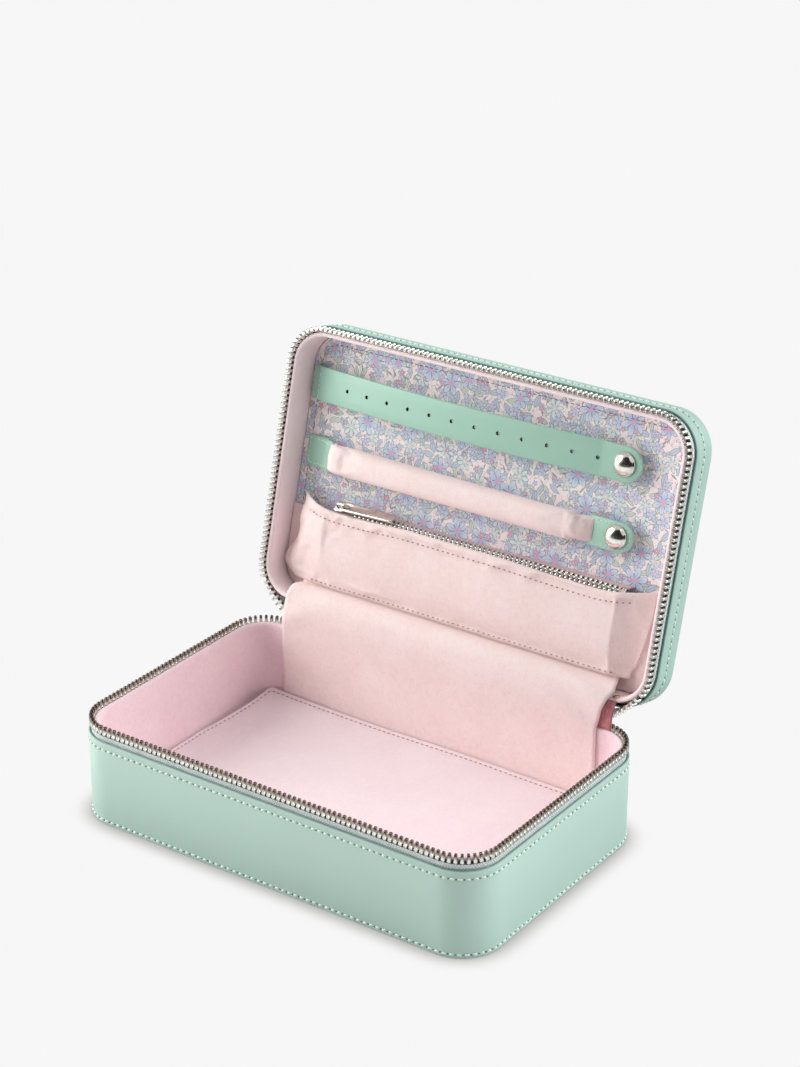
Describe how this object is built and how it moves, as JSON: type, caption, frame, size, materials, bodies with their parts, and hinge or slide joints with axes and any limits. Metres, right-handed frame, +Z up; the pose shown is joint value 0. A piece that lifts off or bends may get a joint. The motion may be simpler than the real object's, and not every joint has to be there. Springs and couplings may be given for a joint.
{
  "type": "jewelry zip case",
  "caption": "Rectangular soft-cornered jewellery case with a zip round its rim, a padded lining and a lid that holds an earring strap, a ring roll and a zipped pocket.",
  "frame": {"origin": "middle of the flat bottom face", "axes": "+X along the long side to the right as seen from the front, +Y from the front to the hinge, +Z up"},
  "size_m": [0.215, 0.1848, 0.1858],
  "materials": {
    "leatherette": "smooth mint leatherette, satin",
    "board": "grey pressed paper board",
    "suedette": "pale pink suedette, matt with a short nap",
    "print": "printed cotton with a small flower pattern",
    "tape": "woven herringbone zip tape",
    "nickel": "polished nickel",
    "brass": "satin brass"
  },
  "bodies": {
    "base": {"base_bottom_cover": "leatherette", "base_face_board": "board", "base_floor_lining": "suedette", "base_wall_board": "board", "base_wall_cover": "leatherette", "base_wall_lining": "suedette", "base_zip_tape": "tape", "base_zip_teeth": "nickel", "floor_pad": "suedette", "hinge_lining": "suedette", "hinge_spine": "leatherette", "lid_chain_end_left": "nickel", "lid_chain_end_right": "nickel", "zip_end_stop": "nickel"},
    "lid": {"lid_face_board": "board", "lid_print_panel": "print", "lid_top_cover": "leatherette", "lid_wall_board": "board", "lid_wall_cover": "leatherette", "lid_wall_lining": "suedette", "lid_zip_tape": "tape", "lid_zip_teeth": "nickel", "lining_rivet": "brass", "pocket_front": "suedette", "pocket_lower_tape": "tape", "pocket_lower_teeth": "nickel", "pocket_upper_tape": "tape", "pocket_upper_teeth": "nickel", "pocket_zip_stop": "nickel", "ring_roll_left_tab": "leatherette", "ring_roll_snap_stud": "nickel", "strap_snap_stud": "nickel"},
    "strap": {"earring_strap": "leatherette", "strap_snap_cap": "nickel", "strap_snap_socket": "nickel"},
    "ring_roll": {"ring_roll_pad": "suedette", "ring_roll_right_tab": "leatherette", "ring_roll_snap_cap": "nickel", "ring_roll_snap_socket": "nickel"},
    "pocket_slider": {"pocket_slider": "nickel"},
    "pocket_pull": {"pocket_pull": "nickel"},
    "main_slider": {"main_slider": "nickel"},
    "main_pull": {"main_pull": "nickel"}
  },
  "joints": [
    {"name": "lid_hinge", "type": "hinge", "parent": "base", "child": "lid", "pos_m": [0, 0.0693, 0.0527], "axis": [1, 0, 0], "range_deg": [0, 104.7], "deforming": ["hinge_spine", "hinge_lining", "lid_chain_end_left", "lid_chain_end_right"]},
    {"name": "strap_swing", "type": "hinge", "parent": "lid", "child": "strap", "pos_m": [-0.1, 0.10526, 0.1543], "axis": [0, 0.2538, 0.9673], "range_deg": [-80, 0]},
    {"name": "ring_roll_swing", "type": "hinge", "parent": "lid", "child": "ring_roll", "pos_m": [-0.08475, 0.09668, 0.12316], "axis": [0, 0.2538, 0.9673], "range_deg": [-80, 0]},
    {"name": "pocket_slider_travel", "type": "slide", "parent": "lid", "child": "pocket_slider", "axis": [1, 0, 0], "range_m": [0, 0.14]},
    {"name": "pocket_pull_swing", "type": "hinge", "parent": "pocket_slider", "child": "pocket_pull", "pos_m": [-0.069, 0.08476, 0.10515], "axis": [0, -0.8634, -0.5045], "range_deg": [0, 140]},
    {"name": "main_slider_travel", "type": "slide", "parent": "base", "child": "main_slider", "axis": [-1, 0, 0], "range_m": [0, 0.0035]},
    {"name": "main_pull_swing", "type": "hinge", "parent": "main_slider", "child": "main_pull", "pos_m": [-0.076, 0.06865, 0.0476], "axis": [0, 0, 1], "range_deg": [0, 180]}
  ]
}
